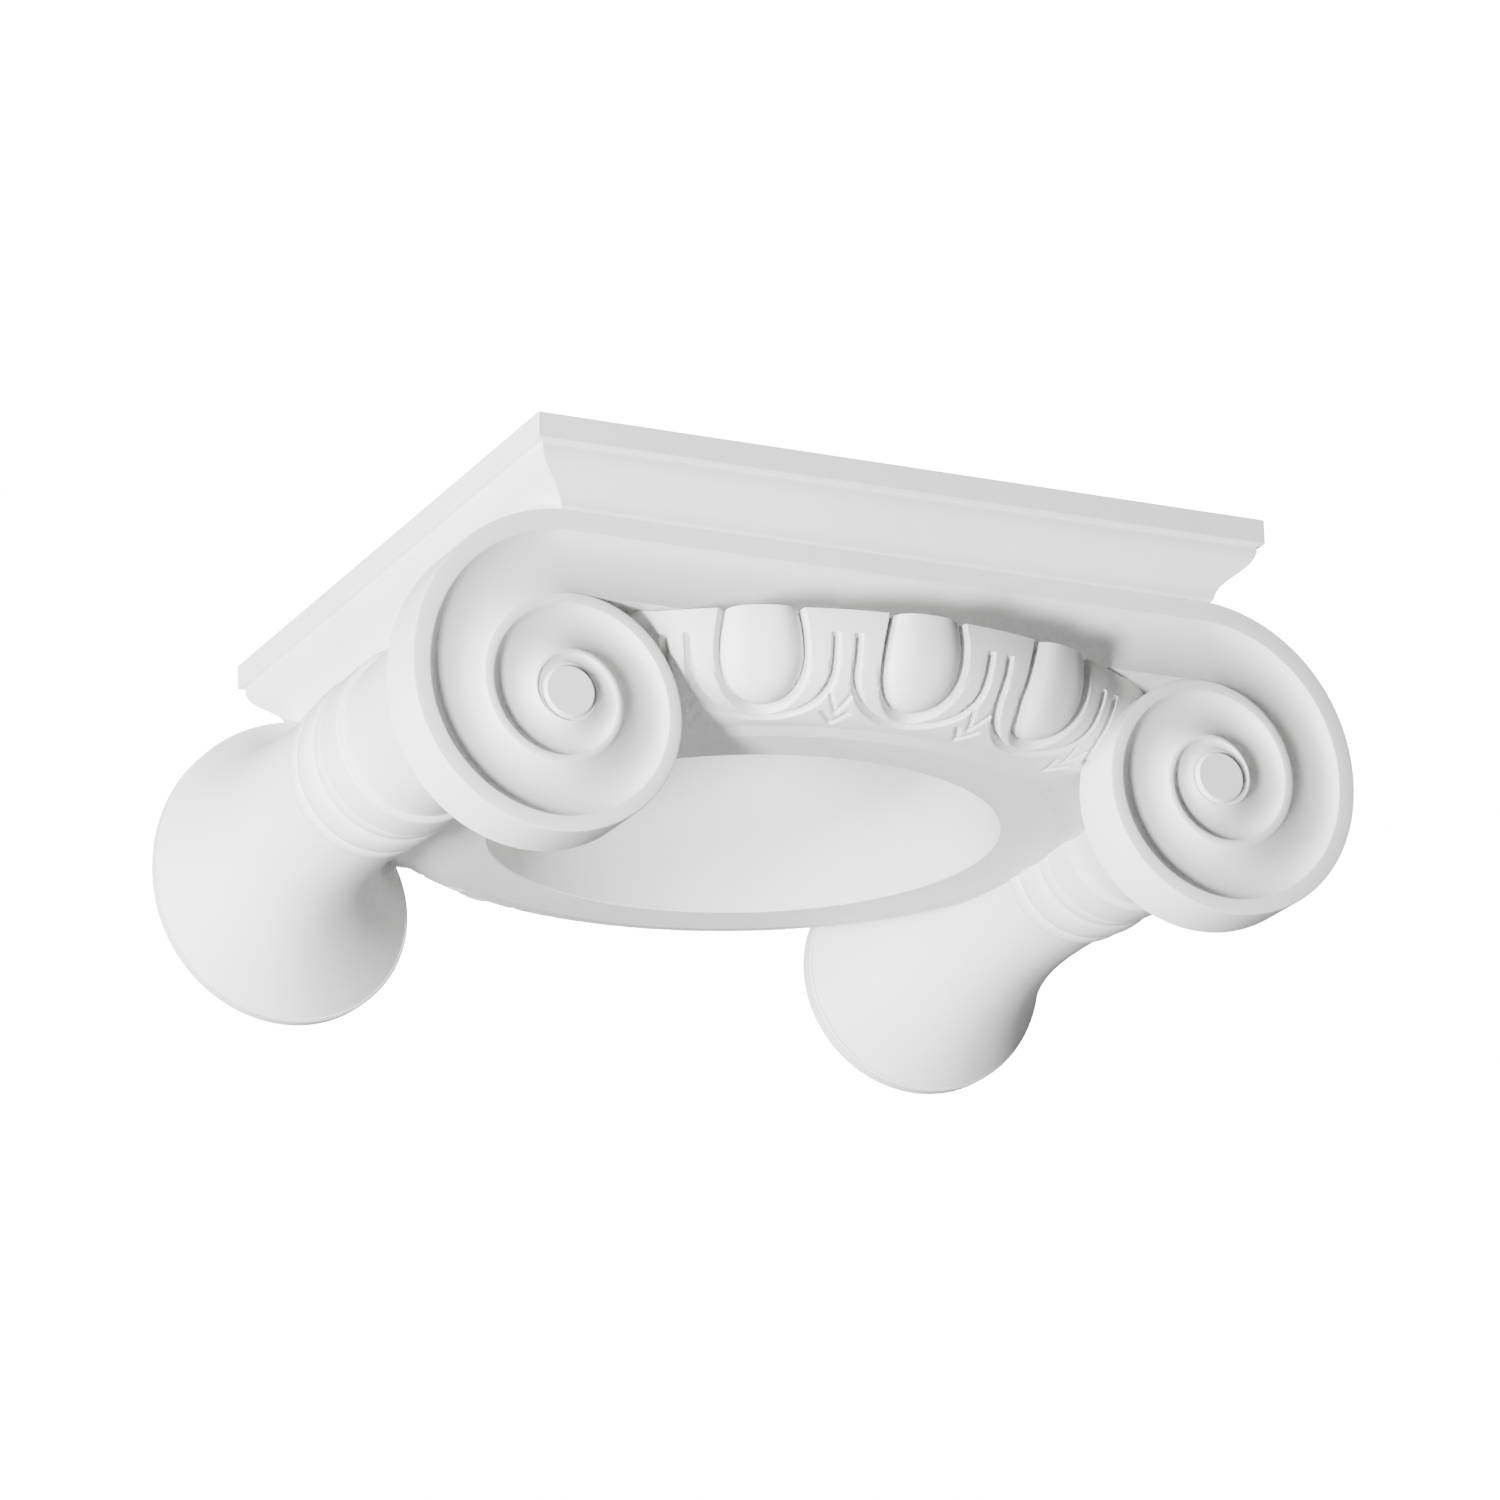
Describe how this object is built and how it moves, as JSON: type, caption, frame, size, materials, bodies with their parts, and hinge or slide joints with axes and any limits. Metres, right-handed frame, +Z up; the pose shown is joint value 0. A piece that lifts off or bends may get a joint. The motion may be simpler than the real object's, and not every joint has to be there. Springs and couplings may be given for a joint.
{
  "type": "ionic capital",
  "caption": "Cast ionic capital: square moulded abacus over scrolled volutes and balusters, with an egg-and-dart echinus round an open socket for a column.",
  "frame": {"origin": "middle of the capital in plan, at the level of the lowest edges of its four scrolls", "axes": "+Z up along the column's axis; the deeper banded face with the volutes looks along -Y; +X runs along that face"},
  "size_m": [0.3928, 0.3346, 0.1559],
  "materials": {
    "cast_white": "smooth matte white primer on a cast body"
  },
  "bodies": {
    "root": {"capital": "cast_white"}
  },
  "joints": []
}
